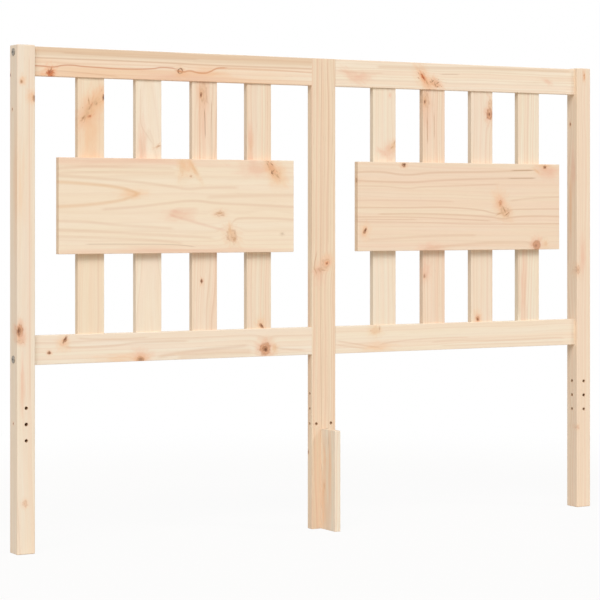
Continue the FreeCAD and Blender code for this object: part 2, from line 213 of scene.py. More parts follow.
# Kinds of mark. A sound knot has grown into the wood round it, a resinous one is orange and a red
# one soaked through, a ring knot kept a rim of bark, and a spike knot was cut lengthwise. A dark
# knot is loose and small, a pin knot is a twig, and a faint one lies under the surface. A stroke is
# a crack or a resin duct cut along, and a smudge a vague brown spot. Tan, flame and pink are
# stained wood round a knot, and grey is weathered wood. The last kind is painted shade on the wall
# and round the mouth of a drilled hole.
mark_looks = ("Glow Colour", "Body Colour", "Core Colour", "Glow", "Body", "Rim", "Splinters", "Core",
              "Core Size", "Edge", "Swell", "Rag")
mark_kinds = {
    "sound": ("E8B898", "C68C68", "8E5232", 0.8, 0.9, 0.2, 0.45, 0.6, 0.34, 0.78, 1.3, 0.2),
    "resinous": ("EFBE96", "DFA273", "A8623A", 0.8, 0.75, 0.2, 0.3, 0.75, 0.3, 0.6, 1.2, 0.4),
    "red": ("EFB084", "C4672F", "9A4620", 0.7, 0.95, 0, 0.5, 0.8, 0.5, 0.6, 1.2, 0.5),
    "ring": ("EAB58A", "D0A077", "744328", 0.6, 0.5, 1.6, 0.6, 0.2, 0.25, 0.6, 1.2, 0.16),
    "spike": ("EDBB94", "DCA277", "965F3C", 0.6, 0.6, 0, 1, 0, 0.3, 0.6, 0.7, 0.5),
    "stroke": ("EABB95", "A06B46", "80512F", 0.35, 0.65, 0, 0.2, 0.35, 0.5, 0.4, 0.3, 0.6),
    "dark": ("E8B48C", "A8714A", "6E4329", 0.65, 0.85, 0.3, 0.3, 0.9, 0.6, 0.7, 1, 0.35),
    "pin": ("EDBE99", "AA7550", "7A4A30", 0.6, 0.8, 0, 0, 0.9, 0.6, 0.6, 0.5, 0.3),
    "faint": ("EBC6A6", "E0B793", "BF9270", 0.6, 0.5, 0.35, 0.35, 0.4, 0.3, 0.6, 1.2, 0.35),
    "smudge": ("E4BE9A", "C99E79", "B4845E", 0.5, 0.55, 0, 0.5, 0.3, 0.5, 0.5, 0.3, 0.5),
    "tan": ("EBC59C", "E4BA8E", "D2A174", 0.4, 0.5, 0, 0.3, 0, 1, 0.5, 0.3, 0.3),
    "flame": ("EFC49C", "ECBB8F", "EDBB8D", 0.5, 0.3, 0, 0, 0, 1, 0.6, 0, 0.3),
    "pink": ("EABFA4", "E6B79A", "E6B79A", 0.55, 0.3, 0, 0, 0, 1, 0.6, 0, 0.3),
    "grey": ("D3BA9E", "C4AA8E", "B59A7C", 0.5, 0.4, 0, 0, 0, 1, 0.6, 0, 0.3),
    # Painted shade for the wall and mouth of a drilled hole
    "hole_shade": ("B08A66", "B08A66", "B08A66", 0, 1, 0, 0, 0, 1, 0.92, 0, 0.05),
}

# Bare planed pine is pale and dull: cream sapwood with pinker rings among it, thin tan lines of
# latewood, and end grain that is darker. Planing leaves fibres that the light just catches.
pink_hex = "EFC7AB"
cream_hex = "F2E2C4"
latewood_hex = "D2A681"
streak_hex = "DDBA98"
fleck_hex = "B68D69"
end_grain_hex = "D4B898"
# Painted shade that darkens the left and right faces of a piece
edge_shade_hex = "BCA88C"
end_grain_share = 0.45
pine_roughness = 0.62
latewood_gloss = 0.12           # how much less rough the hard latewood is
fibre_height = 0.1              # mm
grain_wander = 11               # mm
thin = 20                       # mm: a knot goes right through a piece that is thinner
knot_reach = 60                 # mm, which is right through a thin piece
knot_depth = 12                 # mm, into a piece that is thicker
curve_length = 1100             # mm along a piece that a drawn curve covers
heart_reach = 420               # mm, the range of places that the heart of a log can have
line_fade = 12                  # mm, over which a single line begins and ends
hole_shade_rim = 0.4                  # mm round a drilled hole over which the painted shade spreads onto the face
hole_shade_reach = 1.2                # times its depth: how far into a hole the painted shade on its wall fades out


def drawn_curve(tree, along_share, points, along_middle, middle, reach):
    """A curve through (along, value) points in mm, as the share of its value between two limits."""
    course = add(tree, "FloatCurve", {"Value": along_share})
    course.mapping.use_clip = False
    curve = course.mapping.curves[0]
    for extra in points[2:]:
        curve.points.new(0, 0)
    for point, (along, value) in zip(curve.points, points):
        point.location = (0.5 + (along - along_middle) / curve_length, 0.5 + (value - middle) / reach)
    course.mapping.update()
    return course


def pine(node, ground, grain, course, knots=(), side_knots=(), lines=(), bores=(), edge_shade=0):
    """Gives one piece its wood. Ground is the colour of its sapwood, and grain is (seed, ring width,
    strength). The course of the log's heart is a list of (along, across, depth behind the front face).
    Knots are (kind, x, z, radius, stretch) on the front, with a turn too if they have one, and side knots
    (kind, y, z, ...) on the left side, in mm and degrees. Lines are (colour, share, width, [(along, across),
    ...]). Bores are (axis, x, y, z, radius, depth), from the mouth of a blind hole or the middle of one that
    goes through, and each hole gets painted shade on its wall and round its mouth. The last argument is the
    share of painted shade on the left and right faces, which makes them darker than the planed front."""
    seed, ring_width, strength = grain
    low, high = [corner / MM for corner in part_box(node)]
    middle = (low + high) / 2
    full = high - low
    upright = full.z > full.x
    along_axis, across_axis = ("Z", "X") if upright else ("X", "Z")
    along_middle, across_middle = (middle.z, middle.x) if upright else (middle.x, middle.z)
    across_size = full.x if upright else full.z
    material = bpy.data.materials.new("planed_pine_" + node)
    tree = cleared(material)
    coordinates = add(tree, "TexCoord", {}).outputs
    in_mm = add(tree, "VectorMath MULTIPLY_ADD", {
        0: coordinates["Object"], 1: (1 / MM, 1 / MM, 1 / MM), 2: -middle})
    axes = add(tree, "SeparateXYZ", {0: in_mm}).outputs
    along_share = add(tree, "Math MULTIPLY_ADD", {0: axes[along_axis], 1: 1 / curve_length, 2: 0.5})
    # The place in the log: the way along it, and across and behind its heart
    log_parts = {"X": axes[along_axis]}
    for axis, target, middle_place, part in ((across_axis, "Y", across_middle, 1), ("Y", "Z", full.y / 2, 2)):
        heart_points = [(point[0], point[part]) for point in course]
        heart_share = drawn_curve(tree, along_share, heart_points, along_middle, middle_place, heart_reach)
        heart = add(tree, "Math MULTIPLY_ADD", {0: heart_share, 1: heart_reach, 2: -heart_reach / 2})
        log_parts[target] = add(tree, "Math SUBTRACT", {0: axes[axis], 1: heart})
    log_place = add(tree, "CombineXYZ", log_parts)
    # A knot on the front reaches back along Y, and one on the side along X
    marks = []
    through = full.y < thin
    for kind, x, z, size, stretch, *turn in knots:
        marks.append((kind, (x, middle.y if through else low.y, z),
                      (size if upright else size * stretch, knot_reach if through else knot_depth,
                       size * stretch if upright else size), turn))
    for kind, y, z, size, stretch, *turn in side_knots:
        marks.append((kind, (low.x, y, z), (knot_depth, size, size * stretch), turn))
    # A drilled hole gets painted shade on its wall and round its mouth, fading out along its depth
    for axis, x, y, z, radius, depth in bores:
        size = radius + hole_shade_rim
        reach = hole_shade_reach * depth
        marks.append(("hole_shade", (x, y, z), (reach, size, size) if axis == "X" else (size, reach, size), ()))
    swell = None
    shapes = []
    for number, (kind, spot, size, turn) in enumerate(marks):
        looks = dict(zip(mark_looks, mark_kinds[kind]))
        at_knot = add(tree, "Mapping", {
            "vector_type": "TEXTURE", "Vector": coordinates["Object"],
            "Location": [part * MM for part in spot],
            "Rotation": (0, math.radians(turn[0] if turn else 0), 0),
            "Scale": [part * MM for part in size]})
        shape = add(tree, "Group", {
            "node_tree": knot_shape, "Place": at_knot, "Seed": seed * 3.7 + number * 1.9,
            "Swell": looks.pop("Swell"), "Rag": looks.pop("Rag")}).outputs
        shapes.append((looks, shape))
        swell = shape["Swell"] if swell is None else add(tree, "Math ADD", {0: swell, 1: shape["Swell"]})
    wood = add(tree, "Group", {
        "node_tree": rings, "Place": log_place, "Seed": seed, "Ring Width": ring_width,
        "Wander": grain_wander, "Swell": swell or 0}).outputs
    colour = srgb(ground)
    for name, share, tint in (
            ("Band", 0.3, cream_hex), ("Zone", 0.35 * strength, pink_hex),
            ("Streak", 0.22 * strength, streak_hex), ("Fibre", 0.1, streak_hex),
            ("Latewood", 0.42 * strength, latewood_hex), ("Fleck", 0.3 * strength, fleck_hex)):
        sized = add(tree, "Math MULTIPLY", {0: wood[name], 1: share})
        colour = add(tree, "Mix RGBA", {0: sized, 6: colour, 7: srgb(tint)}).outputs[2]
    for looks, shape in shapes:
        inks = {name: srgb(value) if isinstance(value, str) else value for name, value in looks.items()}
        places = {name: shape[name] for name in ("Distance", "Core Distance", "Side", "Splinter")}
        colour = add(tree, "Group", {
            "node_tree": knot_colour, "Wood": colour, **inks, **places}).outputs["Wood"]
    # Single lines of dark latewood or resin, each a curve of its place across the piece
    across_share = add(tree, "Math MULTIPLY_ADD", {0: axes[across_axis], 1: 1 / across_size, 2: 0.5})
    for tint, share, width, points in lines:
        course_share = drawn_curve(tree, along_share, points, along_middle, across_middle, across_size)
        off = add(tree, "Math SUBTRACT", {0: across_share, 1: course_share})
        distance = add(tree, "Math ABSOLUTE", {0: off})
        line = add(tree, "MapRange SMOOTHSTEP", {
            "Value": distance, "From Min": 0, "From Max": width / across_size, "To Min": share,
            "To Max": 0})
        for place, inwards in ((0, 1), (-1, -1)):
            limit = 0.5 + (points[place][0] - along_middle) / curve_length
            fade = add(tree, "MapRange", {
                "Value": along_share, "From Min": limit,
                "From Max": limit + inwards * line_fade / curve_length})
            line = add(tree, "Math MULTIPLY", {0: line, 1: fade})
        colour = add(tree, "Mix RGBA", {0: line, 6: colour, 7: srgb(tint)}).outputs[2]
    # End grain is darker, and painted shade darkens the left and right faces of a piece
    along_way = (0, 0, 1) if upright else (1, 0, 0)
    for way, share, tint in ((along_way, end_grain_share, end_grain_hex), ((1, 0, 0), edge_shade, edge_shade_hex)):
        if share:
            facing = add(tree, "VectorMath DOT_PRODUCT", {0: coordinates["Normal"], 1: way})
            either_way = add(tree, "Math ABSOLUTE", {0: facing.outputs["Value"]})
            faced = add(tree, "MapRange", {
                "Value": either_way, "From Min": 0.6, "From Max": 0.9, "To Max": share})
            colour = add(tree, "Mix RGBA", {0: faced, 6: colour, 7: srgb(tint)}).outputs[2]
    roughness = add(tree, "MapRange", {
        "Value": wood["Latewood"], "To Min": pine_roughness, "To Max": pine_roughness - latewood_gloss})
    relief = add(tree, "Math MULTIPLY_ADD", {0: wood["Fibre"], 1: 0.6, 2: wood["Latewood"]})
    bump = add(tree, "Bump", {"Height": relief, "Strength": 0.4, "Distance": fibre_height * MM})
    surface = add(tree, "BsdfPrincipled", {
        "Base Color": colour, "Roughness": roughness, "IOR": 1.5, "Normal": bump})
    add(tree, "OutputMaterial", {"Surface": surface})
    nodes[node].data.materials.clear()
    nodes[node].data.materials.append(material)


frame_hole_heights = (223, 255, 287)
post_front = 5
post_middle = 684
post_inner = 665
rail_middle = 24


def post_holes(side):
    """The bores of one side post: pin hole, bolt hole and pin hole in front, and three pilot holes inside."""
    front = [("Y", side * post_middle, y, z, radius, depth) for y, z, radius, depth in zip(
        (post_front, rail_middle, post_front), frame_hole_heights, (3, 3.5, 3), (25, 38, 25))]
    return front + [("X", side * post_inner, rail_middle, z, 3, 12) for z in frame_hole_heights]


pine("left_post", "F0E4D2", (1, 6, 0.6), [(0, -737, 58), (450, -741, 62), (1000, -738, 60)],
    knots=[("pin", -694, 927, 3.2, 1.3), ("flame", -691, 931, 4.5, 1.3), ("dark", -667.5, 895.5, 3.6, 1.7),
    ("flame", -674, 898, 6, 1.4), ("sound", -697, 438.5, 6.2, 2), ("dark", -699, 438, 3.3, 2.5),
    ("faint", -696, 419, 6, 0.8), ("pink", -690, 424, 5, 1.6), ("faint", -687, 100, 4.5, 1.3),
    ("pink", -692, 330, 3, 12)],
    side_knots=[("pin", 29.5, 873.5, 2.4, 1.2), ("pin", 39.5, 941.5, 2.6, 1.4), ("pin", 25, 256, 2.2, 1.2),
    ("flame", 14, 720, 6, 14)],
    lines=[("E2BFA2", 0.5, 2, [(300, -676), (600, -677), (980, -678)])],
    bores=post_holes(-1))
pine("right_post", "F0DDC7", (2, 5, 0.6), [(0, 736, 50), (500, 739, 47), (1000, 737, 48)],
    knots=[("resinous", 685.5, 982, 2.4, 3.2), ("faint", 669, 541, 4.4, 2), ("stroke", 668, 541, 1.3, 3.2),
    ("pink", 681, 575, 5, 5), ("faint", 668, 183, 3, 1.5)],
    side_knots=[("pin", 30, 873, 3, 1.4), ("pink", 18, 770, 5, 6), ("flame", 30, 690, 4, 12)],
    bores=post_holes(1))

# Centre post. A flat post of the same pine between the two halves, 18 mm thick, with the
# rails butted against its edges and holes below for the middle beam of the bed.
rail_front = 15
centre_holes = [("X", 0, rail_middle, height, 2.5, 58) for height in frame_hole_heights]
centre_holes += [("Y", x, rail_front, frame_hole_heights[0], 2.75, 5) for x in (-18, 18)]
pine("centre_post", "EDD9C0", (3, 5.2, 1), [(0, 71, 40), (520, 66, 38), (600, 69, 40), (998, 70, 40)],
    knots=[("flame", 8, 566, 9, 1.2, 40), ("pink", 5, 565, 7, 1.2, 45), ("faint", 6.5, 563.5, 8.4, 1.1, 45),
    ("red", 8.2, 563, 3, 1.3, 40), ("pin", 8.2, 562.5, 1.9, 1.2, 40), ("smudge", -9, 549.5, 4.5, 2.4, 70),
    ("stroke", -11, 549, 1.8, 3.4, -38), ("stroke", -1.7, 548.5, 1.2, 6, 94),
    ("smudge", -19.8, 546.5, 1.8, 4, -26), ("pink", -14, 540, 8, 1.8)],
    side_knots=[("pin", 30.5, 162, 2.6, 1.8)],
    lines=[("C39C78", 0.45, 1.5, [(0, -4), (300, -6), (500, -7), (541, -6.5), (590, -7.5), (700, -6.6),
    (860, -6.4), (998, -4)]),
    ("C08F68", 0.5, 2, [(536, -15.5), (546, -19.5), (554, -23), (562, -22.5), (577, -19), (592, -16.5)]),
    ("CFAA86", 0.4, 1.5, [(600, 11), (800, 11.5), (880, 12.5), (940, 10.2), (998, 8)])],
    bores=centre_holes)

# Rails. Four flat pine rails between the posts, mortised for the slats and held by bolts with
# barrel nuts. Each comes from another board, so that knots and rings differ.
pine("upper_rail_left", "F7EEDC", (4, 7, 1), [(-665, 1051, 30), (-29, 1048, 33)],
    knots=[("flame", -420, 947, 14, 22), ("pink", -330, 945, 10, 6), ("red", -629.5, 946.5, 8.2, 1),
    ("stroke", -627, 954, 1.6, 2.6, -72), ("ring", -341, 960, 5.6, 1), ("flame", -330, 955, 5, 2.6),
    ("flame", -275, 958, 6, 4)],
    lines=[("DDBC9A", 0.75, 17, [(-675, 990), (-350, 989), (-20, 988)]),
    ("CFA682", 0.5, 2.6, [(-675, 976), (-477, 976), (-387, 975.5), (-296, 974.5), (-19, 974.5)]),
    ("CFA682", 0.35, 3, [(-608, 988), (-499, 986), (-432, 985.5), (-296, 985.5)]),
    ("D09C72", 0.35, 2.2, [(-621, 951.5), (-575, 950), (-508, 946), (-477, 944.5)]),
    ("C4754C", 0.68, 2.4, [(-690, 961), (-659, 960), (-642, 959.5), (-629, 958.5), (-618.5, 959),
    (-605.5, 962), (-585, 963.5), (-560, 962), (-527, 961), (-488, 960), (-443, 960.5), (-402, 963),
    (-378, 966), (-362, 965.5), (-345, 962)]),
    ("CC8252", 0.7, 3, [(-356, 962), (-346, 960), (-333.5, 958.5), (-320.5, 961), (-307, 959),
    (-291, 957.5), (-274, 960.5), (-261, 966.5), (-247.5, 969.5), (-228, 970)]),
    ("D8A67E", 0.45, 2.6, [(-240, 969.5), (-202, 970), (-166.5, 970), (-106.5, 969), (-19, 966)])])
pine("upper_rail_right", "F5E8D5", (5, 6, 0.6), [(29, 1052, 54), (665, 1056, 52)],
    knots=[("flame", 256, 963, 10, 2.2, 54), ("spike", 256, 963.5, 6.5, 2.6, 54),
    ("red", 253.5, 966, 3, 3, 54), ("stroke", 263, 955, 1.6, 4.4, 60), ("spike", 284.5, 953, 8, 1.5, 15),
    ("stroke", 284, 951, 1.5, 4.2, 70), ("stroke", 291, 955.5, 1.4, 4, -30),
    ("stroke", 277, 958, 1.4, 3.4, -40), ("pink", 72, 962, 6, 3, 28), ("pink", 590, 967, 3.6, 2.4, 20),
    ("pink", 96, 963, 6, 2.5)],
    lines=[("D5B08C", 0.4, 6, [(130, 985), (244, 986.5), (404, 990.5), (513, 991.5), (660, 992)]),
    ("B98F6A", 0.45, 1.6, [(294, 974), (320, 975), (352, 976)]),
    (latewood_hex, 0.25, 3, [(29, 975), (81, 971), (154, 972.5)])])
pine("lower_rail_left", "F2E7D6", (6, 7, 0.5), [(-665, 331, 49), (-29, 327, 47)],
    knots=[("flame", -601, 411, 8, 1.2, 60), ("dark", -597, 418, 3.2, 2.1, -52),
    ("dark", -631, 393, 3.1, 1.1), ("pink", -430, 380, 9, 1.4), ("sound", -431.5, 373, 7, 1.2),
    ("dark", -431, 372.5, 4.8, 1.5), ("sound", -142, 386, 12.2, 1.03), ("dark", -142.5, 386, 6, 1.1),
    ("tan", -120, 386, 7, 0.8), ("flame", -470, 377, 5, 7)],
    lines=[("D2A988", 0.32, 6, [(-396, 376.5), (-342, 383.5), (-296, 387.5), (-237, 391), (-180, 394.5)]),
    ("DDBB9C", 0.35, 12, [(-350, 374), (-260, 380), (-170, 381)]),
    (latewood_hex, 0.3, 4, [(-604, 405), (-554, 401.5), (-499, 402.5), (-432, 407.5), (-319, 407.5)]),
    (latewood_hex, 0.25, 3, [(-575, 421), (-499, 416.5), (-410, 418)]),
    (latewood_hex, 0.3, 4, [(-126, 391), (-95, 384), (-43, 380)])])
pine("lower_rail_right", "F3E6D2", (7, 6.5, 0.5), [(29, 325, 49), (665, 329, 49)],
    knots=[("tan", 128.5, 416, 9.5, 1.1), ("smudge", 140, 420, 5, 0.3), ("flame", 135, 381, 6, 4)],
    lines=[(latewood_hex, 0.3, 3, [(28, 397.5), (66, 391.5), (103, 385), (146, 378.5)]),
    (latewood_hex, 0.3, 3, [(28, 388.5), (66, 384), (111, 377.5)]),
    (latewood_hex, 0.26, 3, [(136, 385), (193, 392), (271, 395.5), (377, 395)]),
    (latewood_hex, 0.26, 3, [(271, 387), (350, 388.5), (458, 386), (540, 387), (602, 387.5), (641, 384.5)]),
    (latewood_hex, 0.22, 2.5, [(297, 379), (404, 378.5), (513, 378), (641, 377.5)])])

# Slats. Eight upright slats, 13.5 mm thick, tenoned into the rails and set a little behind
# their faces, cut from mixed stock.
slat_edge_shade = 0.25                # how much painted shade darkens the left and right faces
pine("slat_left_1", "F1E0C7", (11, 6, 0.5), [(416, -480, 47), (952, -478, 46)],
    knots=[("flame", -535, 872, 17, 2.2, 40), ("pink", -546, 868, 11, 1.7, 32),
    ("flame", -520, 899, 9, 1.4), ("spike", -541, 877, 8.5, 2.7, 30), ("tan", -527, 891, 8, 1.5, 40),
    ("stroke", -543.5, 891.5, 1.5, 5.5, -9), ("smudge", -531, 890.5, 3.4, 1.8, 35),
    ("stroke", -527.5, 888, 1.7, 2.4, 50), ("red", -538, 885.5, 2, 2.6, 28),
    ("smudge", -543, 878, 5, 2.2, 32), ("tan", -541, 870, 6, 1.6, 30), ("stroke", -542, 879, 1.9, 2.6, 30),
    ("smudge", -547, 868, 4.4, 1.8), ("red", -542.5, 863, 2.7, 2.1, 68), ("smudge", -554, 861, 4, 2, 50),
    ("stroke", -556, 859.5, 1.8, 3.6, 40), ("dark", -511.5, 902, 2.6, 2.2), ("flame", -540, 820, 14, 3)],
    edge_shade=slat_edge_shade)
pine("slat_left_2", "F4E8D5", (12, 5.5, 0.5), [(416, -408, 45), (700, -410, 56), (952, -413, 64)],
    knots=[("smudge", -390, 805.5, 2.6, 2.6, 65), ("pink", -425, 800, 6, 5)],
    lines=[("CFA988", 0.22, 2.8, [(805.5, -393), (809, -400.5), (821, -410), (832, -418), (844, -426),
    (858, -429), (898, -429.5), (930, -428.5)]),
    ("D5B294", 0.25, 2.4, [(783, -419), (797, -425.5), (822, -427.5)])],
    edge_shade=slat_edge_shade)
pine("slat_left_3", "F2E0CB", (13, 5, 0.8), [(416, -235, 56), (952, -232, 57)],
    knots=[("pink", -286, 900, 8, 8), ("faint", -285.5, 915, 8.5, 2.4), ("faint", -289, 914, 5, 2.6),
    ("dark", -291.5, 913.5, 2.3, 2.2), ("dark", -290, 529.5, 2.8, 1.7)],
    lines=[("A0714E", 0.75, 1.4, [(822, -281.5), (842, -282), (862, -282.5), (888, -284.5)]),
    ("BE9270", 0.6, 1.4, [(600, -267), (760, -266.5), (822, -266), (880, -267), (905, -268)]),
    ("DFB08C", 0.6, 2.4, [(770, -294), (860, -294.5), (960, -294.5)])],
    edge_shade=slat_edge_shade)
pine("slat_left_4", "EFE0CB", (14, 5.2, 0.8), [(416, -211, 52), (952, -212, 52)],
    knots=[("flame", -151, 440, 7, 1.3), ("dark", -149.5, 434, 2.8, 2.1, -50),
    ("tan", -174, 812, 3.4, 5, 6), ("pink", -176, 830, 4, 4), ("pink", -176, 760, 5, 8)],
    edge_shade=slat_edge_shade)
pine("slat_right_1", "F1E5D2", (15, 5.4, 0.5), [(416, 219, 52), (952, 217, 51)],
    knots=[("pink", 169.5, 925, 2.6, 1.5), ("pink", 170, 806, 11, 1.2, 50), ("tan", 178, 816, 6.5, 1.3, 30),
    ("smudge", 174, 812, 1.8, 3.2, 55), ("smudge", 181, 823, 1.5, 3.2, 25),
    ("pink", 151, 800, 4, 2.4, -60)],
    edge_shade=slat_edge_shade)
pine("slat_right_2", "F1DDC8", (16, 5, 0.9), [(416, 225, 46), (952, 224, 47)],
    knots=[("pink", 262, 905, 9, 5), ("faint", 262, 916.5, 8.4, 2), ("faint", 260.5, 914.5, 4, 2.4),
    ("dark", 259.5, 913.5, 2, 2.3), ("dark", 258.5, 532.5, 2.7, 1.8), ("pink", 262, 545, 8, 2)],
    lines=[("B08058", 0.75, 1.6, [(820, 266.5), (850, 266), (880, 266.5)]),
    ("C09470", 0.5, 1.4, [(862, 266), (892, 266), (908, 265)]),
    ("B98F6C", 0.6, 1.4, [(830, 284), (860, 284), (892, 283.5)])],
    edge_shade=slat_edge_shade)
pine("slat_right_3", "F0E0CC", (17, 5.6, 0.5), [(416, 477, 56), (952, 476, 57)],
    knots=[("sound", 431.5, 890, 8.2, 1.5), ("dark", 431.5, 889.5, 2.2, 1.9), ("faint", 433, 913, 5, 2),
    ("flame", 400, 438, 7, 1.4), ("sound", 400, 435, 4.6, 1.2), ("dark", 400, 434, 2.4, 1.4)],
    edge_shade=slat_edge_shade)
pine("slat_right_4", "F1E6D2", (18, 5.4, 0.7), [(416, 590, 44), (680, 594, 46), (952, 598, 45)],
    knots=[("pink", 525, 500, 6, 9)],
    lines=[("BE9068", 0.55, 1.6, [(434, 512.5), (497, 512), (560, 512.5), (588, 513)])],
    edge_shade=slat_edge_shade)

# Wide boards. One flat-sawn board 192 mm high across the slats of each half, screwed on from
# the back. The left one shows the pointed arches of a slash-sawn board, the right one is
# straight.
pine("board_left", "F3E4CE", (21, 9, 0.3), [(-615, 690, 60), (-79, 688, 58)],
    knots=[("pink", -500, 778, 9, 16), ("tan", -342, 763, 17, 0.42), ("tan", -315, 760, 3.8, 5.4, 57),
    ("tan", -317, 764, 2.6, 5, 57), ("flame", -330, 764, 12, 0.8), ("smudge", -321.5, 745, 2.2, 1.3),
    ("pink", -165, 764, 12, 2.4), ("flame", -124, 754, 13, 1.6, 58), ("tan", -122, 752, 10, 1.6, 58),
    ("smudge", -139, 767, 2.6, 4.8, 55), ("spike", -131, 762, 6, 2.4, 55),
    ("stroke", -132, 772, 1.3, 4.5, 38), ("dark", -131, 754.5, 2.6, 1.6, 70),
    ("stroke", -128, 758, 1.2, 3.2, -48), ("smudge", -120, 748, 2.4, 3.2, 40),
    ("faint", -254.5, 668.5, 5, 2), ("smudge", -255, 669.5, 2.4, 2.6), ("faint", -227, 623, 11, 1.3, 60),
    ("smudge", -221, 616, 4.2, 1.4, 80), ("tan", -231, 634, 3.4, 3, 80), ("grey", -107, 626, 2.6, 1.4),
    ("pink", -350, 590, 6, 26), ("flame", -452, 708.5, 6, 3.2), ("pink", -350, 666, 7, 3)],
    lines=[(latewood_hex, 0.26, 5, [(-640, 744), (-526, 738.5), (-437, 731.5), (-358, 722.5), (-331, 719),
    (-289, 721.5), (-208, 722.5)]),
    ("DAA468", 0.38, 6, [(-640, 732), (-569, 729), (-493, 722), (-466, 717), (-446, 711), (-434, 708)]),
    ("DAA468", 0.34, 6, [(-640, 681.5), (-537, 687.5), (-477, 696), (-457, 701.5), (-445, 706),
    (-434, 708.5)]),
    (latewood_hex, 0.28, 5, [(-526, 676.5), (-437, 683), (-381, 689), (-312, 694.5), (-266, 690.5),
    (-172, 686.5), (-60, 681.5)]),
    (latewood_hex, 0.2, 7, [(-289, 701.5), (-243, 703.5), (-160, 706.5), (-60, 708)]),
    ("DDA283", 0.18, 7, [(-374, 668.5), (-360, 674), (-335, 677), (-301, 678)]),
    ("D9A283", 0.26, 5, [(-376, 669.5), (-358, 662.5), (-335, 656.5), (-301, 648), (-273, 641),
    (-236, 633)]),
    (latewood_hex, 0.22, 5, [(-640, 654), (-569, 653), (-486, 645.5), (-415, 641.5), (-358, 637.5)]),
    (latewood_hex, 0.22, 5, [(-640, 637), (-547, 634), (-459, 628.5), (-347, 623), (-266, 617.5)]),
    (latewood_hex, 0.22, 5, [(-640, 623.5), (-515, 619.5), (-415, 615), (-335, 606.5)]),
    ("A98260", 0.4, 1.6, [(-560, 607.5), (-459, 607), (-358, 605), (-308, 600)]),
    (latewood_hex, 0.3, 4.5, [(-232, 636), (-224, 651), (-212, 658), (-160, 659), (-60, 654)]),
    (latewood_hex, 0.22, 5, [(-640, 755.5), (-547, 762.5), (-459, 761.5), (-358, 761.5)]),
    (latewood_hex, 0.22, 5, [(-640, 747.5), (-526, 751.5), (-459, 751.5), (-351, 751.5)])])
pine("board_right", "F0DBC5", (22, 8, 0.5), [(79, 536, 67), (340, 532, 67), (615, 530, 67)],
    knots=[("dark", 196, 774, 4.2, 1.3), ("pink", 580, 764, 10, 2.1, 8), ("pink", 583, 765, 7, 2, 8),
    ("tan", 552, 764, 2.2, 4.4, 32), ("tan", 573, 776, 2.4, 7), ("dark", 574, 773, 3.2, 1.3),
    ("flame", 450, 696, 11, 1.4, 80), ("pink", 452, 692, 9, 1, 90), ("sound", 452, 690.5, 4.6, 1.6, 90),
    ("red", 452.5, 689.5, 2.5, 1.7, 80), ("tan", 462, 672, 9, 1.8, 40), ("faint", 466, 672, 9, 1.4, 50),
    ("smudge", 448, 668, 1.8, 4.5, -18), ("stroke", 462.5, 677, 1.4, 6, 62),
    ("stroke", 470, 668, 1.4, 5, -35), ("flame", 97, 631, 11, 0.7), ("dark", 97, 631.5, 3, 2.2, -62),
    ("sound", 552, 598, 10.5, 1), ("tan", 577, 600, 6.5, 0.8), ("pink", 270, 592, 7, 3)],
    side_knots=[("dark", 10.8, 740, 3, 1.8)],
    lines=[(latewood_hex, 0.4, 4, [(60, 756), (135, 758.5), (199, 752.5), (264, 757.5), (397, 761),
    (539, 766)]),
    (latewood_hex, 0.38, 4, [(60, 740), (181, 736.5), (212, 736.5), (277, 740.5), (451, 747), (550, 748)]),
    (latewood_hex, 0.3, 3, [(60, 727.5), (148, 727), (207, 723.5), (243, 726.5), (303, 728.5),
    (451, 734.5)]),
    (latewood_hex, 0.25, 3, [(60, 696.5), (186, 697.5), (330, 695)]),
    (latewood_hex, 0.42, 3, [(60, 681.5), (199, 681.5), (311, 682), (397, 676.5), (451, 669), (475, 676.5),
    (533, 678.5), (635, 679)]),
    (latewood_hex, 0.4, 3, [(127, 667.5), (264, 668), (356, 665), (424, 661), (462, 657), (483, 660.5),
    (635, 661)]),
    (latewood_hex, 0.4, 2.2, [(60, 661.5), (225, 660.5), (317, 657.5), (429, 652)]),
    (latewood_hex, 0.35, 2.2, [(60, 655.5), (233, 656)]),
    (latewood_hex, 0.33, 2.2, [(60, 651), (212, 650), (383, 645.5), (635, 646.5)]),
    (latewood_hex, 0.27, 4, [(473, 696), (519, 701.5), (635, 706.5)]),
    (latewood_hex, 0.25, 5, [(100, 612), (186, 616), (264, 619.5), (390, 620.5)]),
    (latewood_hex, 0.25, 6, [(240, 590), (343, 599.5), (424, 603.5), (550, 602.5)]),
    ("A98260", 0.65, 1.8, [(478, 764.5), (500, 765), (548, 766)]),
    ("A98260", 0.5, 1.7, [(470, 747), (500, 747.5), (552, 748.5)])])

# Foot block. A short offcut of plank on edge in front of the centre post, screwed on from the
# back, which carries the middle beam of the bed.
pine("foot_block", "EEE5D5", (31, 5, 0.6), [(0, 46, 36), (120, 45, 40), (212, 44, 46)],
    side_knots=[("grey", -17.1, 188, 1.6, 6), ("flame", -22, 120, 5, 12), ("smudge", 1, 92, 3, 2.4),
    ("flame", 4, 50, 7, 5), ("flame", -2, 140, 6, 5)])

# Furniture bolts. Zinc-plated steel bolts M6 with a thin flat head and a hexagon socket, which
# go through the side posts into the barrel nuts of the rails.

# A fitting that is turned on a lathe and then threaded or fluted, along its own Z with its head at
# the top: the radius of one cylinder follows its length, and the ridges wind round it.
turned, into = group(
    "turned_fitting", "GeometryNodeTree",
    [("Geometry", ["Places"]),
     ("Float", ["Length", "Step", "Shank Radius", "Head Radius", "Head Height", "Head Bevel", "Head Taper",
                "Tip Radius", "Tip Slope", "Thread Start", "Thread Pitch", "Thread Depth", "Thread Starts",
                "Socket Width", "Socket Depth"]),
     ("Int", ["Sides"]), ("Vector", ["Turn"]), ("Bool", ["Hexagon Socket", "Cross Socket"]),
     ("Material", ["Finish"])],
    [("Geometry", ["Fittings"])])
point = add(turned, "GeometryNodeInputPosition", {})
